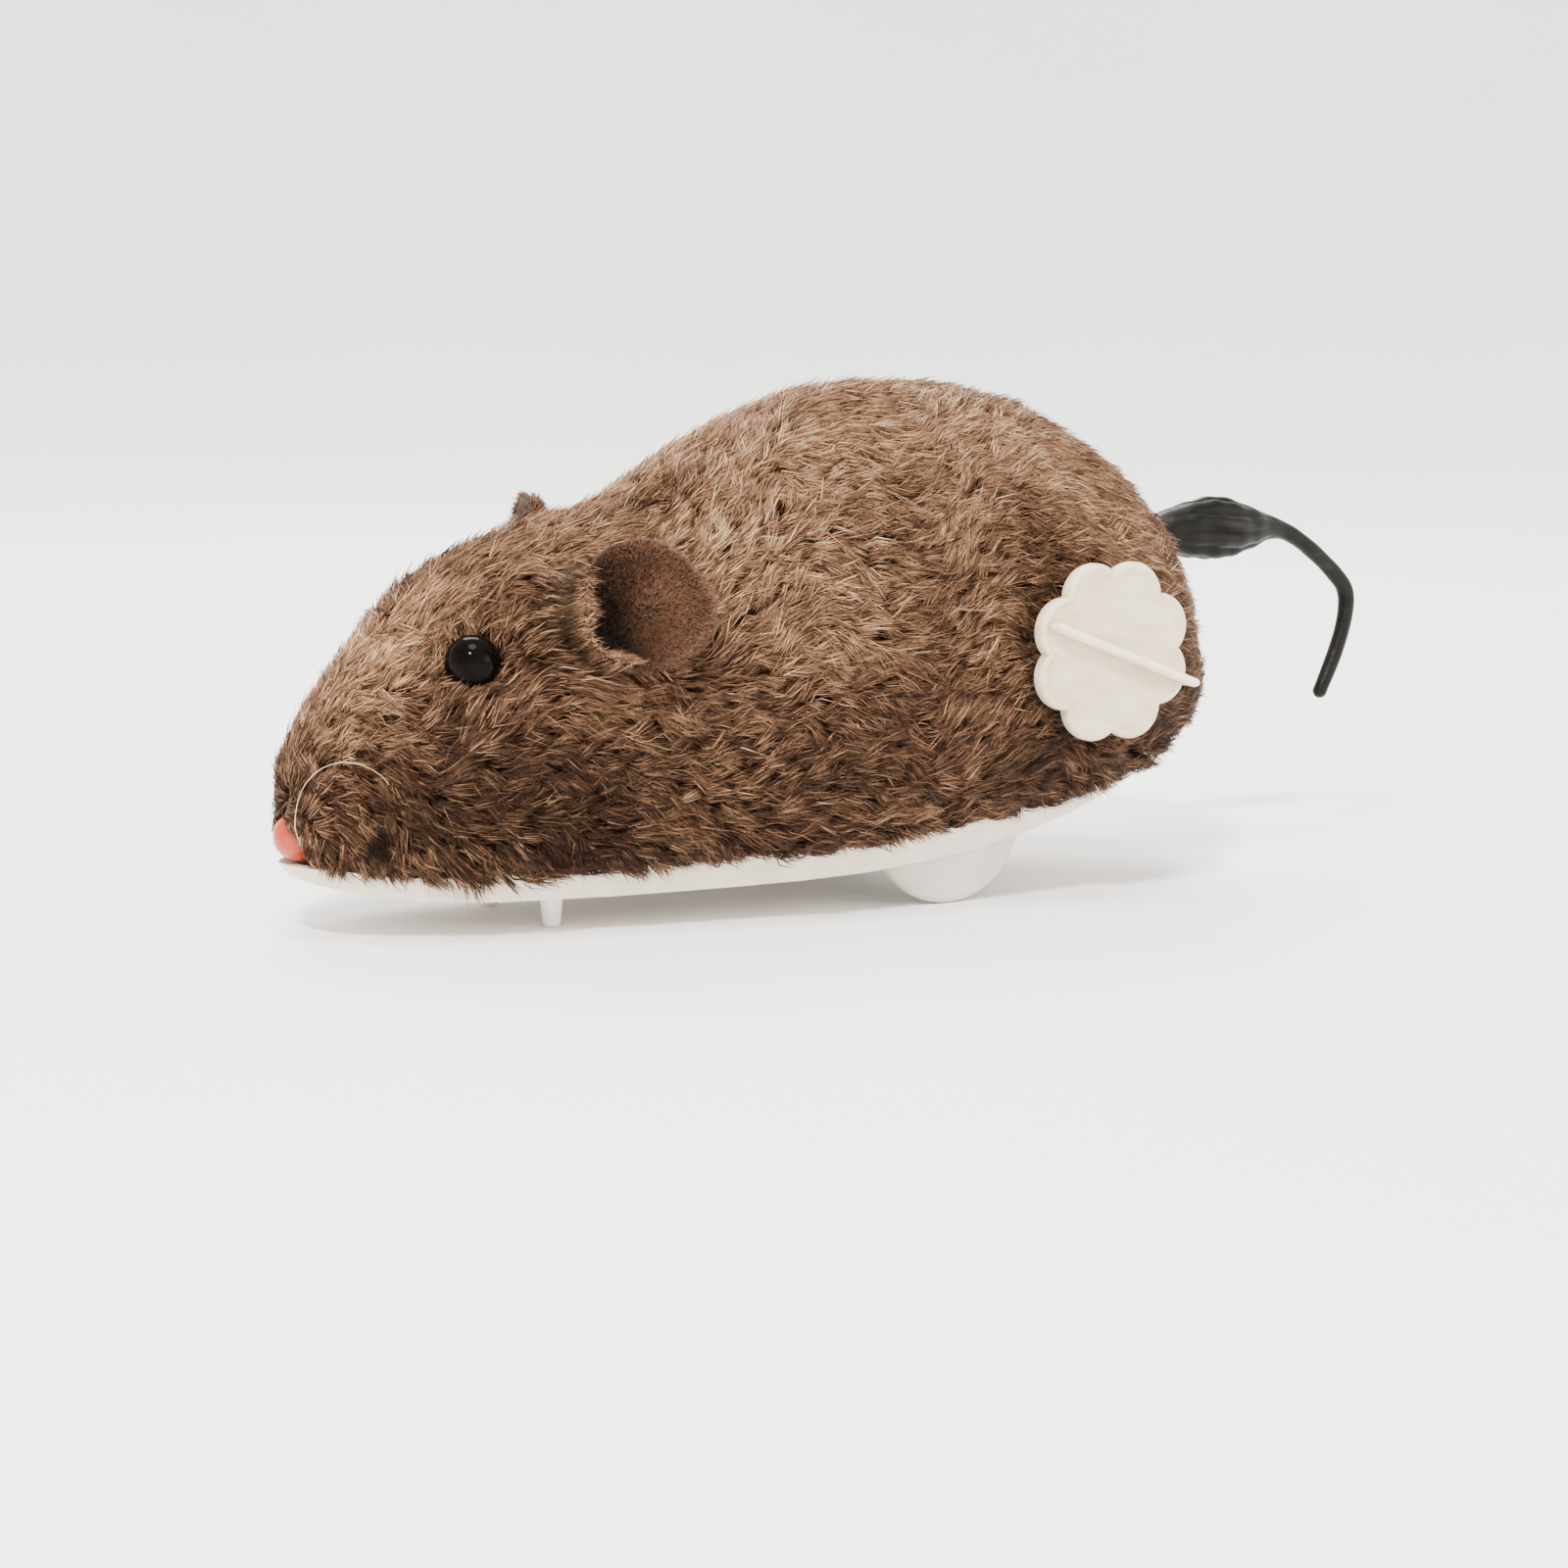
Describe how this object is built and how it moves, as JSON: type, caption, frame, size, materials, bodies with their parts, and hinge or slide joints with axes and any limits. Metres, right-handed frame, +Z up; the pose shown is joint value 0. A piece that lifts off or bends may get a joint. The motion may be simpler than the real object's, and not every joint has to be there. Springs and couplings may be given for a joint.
{
  "type": "wind-up toy mouse",
  "caption": "Plush toy mouse on a plastic tray with a side winding knob, clockwork motor, two rear drive wheels and a turning rubber tail.",
  "frame": {"origin": "bottom centre of the whole toy's box, on the ground under it", "axes": "+X from nose to tail, +Y to the mouse's right flank, away from the winding knob, +Z up"},
  "size_m": [0.1448, 0.0582, 0.0585],
  "materials": {
    "brown_plush": "long brown pile, combed to the tail",
    "shell_plastic": "moulded",
    "white_plastic": "moulded satin",
    "wheel_plastic": "moulded satin",
    "nylon": "slightly translucent",
    "ear_felt": "short brown felt",
    "black_bead": "polished",
    "red_bead": "polished, translucent",
    "whisker_nylon": "drawn thread",
    "tail_rubber": "matt moulded",
    "steel": "turned",
    "spring_steel": "blued",
    "brass": "stamped",
    "gear_plastic": "moulded acetal"
  },
  "bodies": {
    "chassis": {"base_tray": "white_plastic", "body_shell": "shell_plastic", "plush_skin": "brown_plush", "left_ear": "ear_felt", "right_ear": "ear_felt", "left_eye": "black_bead", "right_eye": "black_bead", "left_eye_washer": "steel", "right_eye_washer": "steel", "nose_bead": "red_bead", "left_whisker": "whisker_nylon", "right_whisker": "whisker_nylon", "frame_plate_left": "white_plastic", "frame_plate_right": "white_plastic", "frame_foot_front": "white_plastic", "frame_foot_rear": "white_plastic", "frame_pillar_front": "steel", "frame_pillar_rear": "steel", "motor_screw_front": "steel", "motor_screw_rear": "steel", "tail_bush": "nylon", "tail_shaft_bracket": "white_plastic", "glide_left": "nylon", "glide_right": "nylon", "mainspring": "spring_steel"},
    "great_wheel_group": {"great_wheel": "brass", "click": "steel", "click_rivet": "brass"},
    "winding_group": {"winding_knob": "white_plastic", "winding_arbor": "steel", "ratchet_wheel": "steel"},
    "intermediate_group": {"intermediate_arbor": "steel", "intermediate_pinion": "gear_plastic", "intermediate_wheel": "gear_plastic"},
    "crown_group": {"crown_arbor": "steel", "crown_pinion": "gear_plastic", "crown_wheel": "gear_plastic"},
    "drive_axle_group": {"drive_axle": "steel", "axle_pinion": "gear_plastic", "drive_wheel_left": "wheel_plastic", "drive_wheel_right": "wheel_plastic"},
    "tail_group": {"tail": "tail_rubber", "tail_shaft": "steel", "tail_pinion": "gear_plastic"}
  },
  "joints": [
    {"name": "drive_axle_turn", "type": "hinge", "parent": "chassis", "child": "drive_axle_group", "pos_m": [0.00185, 0.00268, 0.0095], "axis": [0, 1, 0], "continuous": true},
    {"name": "great_wheel_turn", "type": "hinge", "parent": "chassis", "child": "great_wheel_group", "pos_m": [0.01505, 0.00268, 0.0289], "axis": [0, 1, 0], "continuous": true},
    {"name": "intermediate_turn", "type": "hinge", "parent": "chassis", "child": "intermediate_group", "pos_m": [0.00169, 0.00268, 0.0221], "axis": [0, 1, 0], "continuous": true},
    {"name": "crown_turn", "type": "hinge", "parent": "chassis", "child": "crown_group", "pos_m": [0.00444, 0.00268, 0.0395], "axis": [0, 1, 0], "continuous": true},
    {"name": "tail_turn", "type": "hinge", "parent": "chassis", "child": "tail_group", "pos_m": [0.02845, 0.00268, 0.0395], "axis": [1, 0, 0], "continuous": true},
    {"name": "knob_winding", "type": "hinge", "parent": "great_wheel_group", "child": "winding_group", "pos_m": [0.01505, 0.00268, 0.0289], "axis": [0, 1, 0], "range_deg": [0, 1620], "deforming": ["mainspring"]}
  ],
  "couplings": [
    {"joint": "intermediate_turn", "follows": "drive_axle_turn", "ratio": -0.3125},
    {"joint": "great_wheel_turn", "follows": "drive_axle_turn", "ratio": 0.078125},
    {"joint": "crown_turn", "follows": "drive_axle_turn", "ratio": -0.3125},
    {"joint": "tail_turn", "follows": "drive_axle_turn", "ratio": 0.75}
  ]
}
